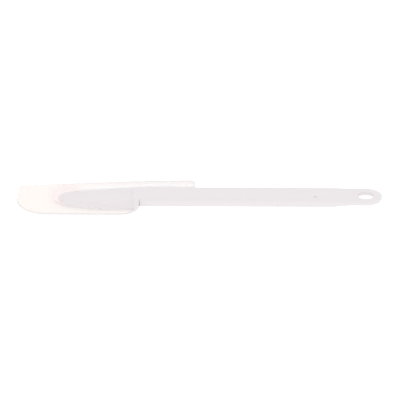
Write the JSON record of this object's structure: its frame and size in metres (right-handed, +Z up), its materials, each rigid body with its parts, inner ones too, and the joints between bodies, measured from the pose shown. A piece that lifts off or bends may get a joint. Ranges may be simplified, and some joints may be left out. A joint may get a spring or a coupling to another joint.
{
  "type": "bench scraper",
  "caption": "Long-handled flexible dough and bowl scraper: a rigid flat handle with a hanging eye, and a translucent blade pushed onto its spade-shaped tang.",
  "frame": {"origin": "centre of the base of the bounding box, on the surface that the flat underside rests on", "axes": "+X along the handle towards the hanging eye, +Y towards the blade's long side, +Z up through the thickness"},
  "size_m": [0.35, 0.0752, 0.0081],
  "materials": {
    "handle_plastic": "fine satin moulded surface, off-white with a faint grey-pink cast",
    "blade_elastomer": "smooth satin translucent food-grade elastomer, natural cream"
  },
  "bodies": {
    "handle": {"handle": "handle_plastic"},
    "blade": {"blade": "blade_elastomer"}
  },
  "joints": [
    {"name": "blade_pull", "type": "slide", "parent": "handle", "child": "blade", "axis": [-1, 0, 0], "range_m": [0, 0.14]}
  ]
}
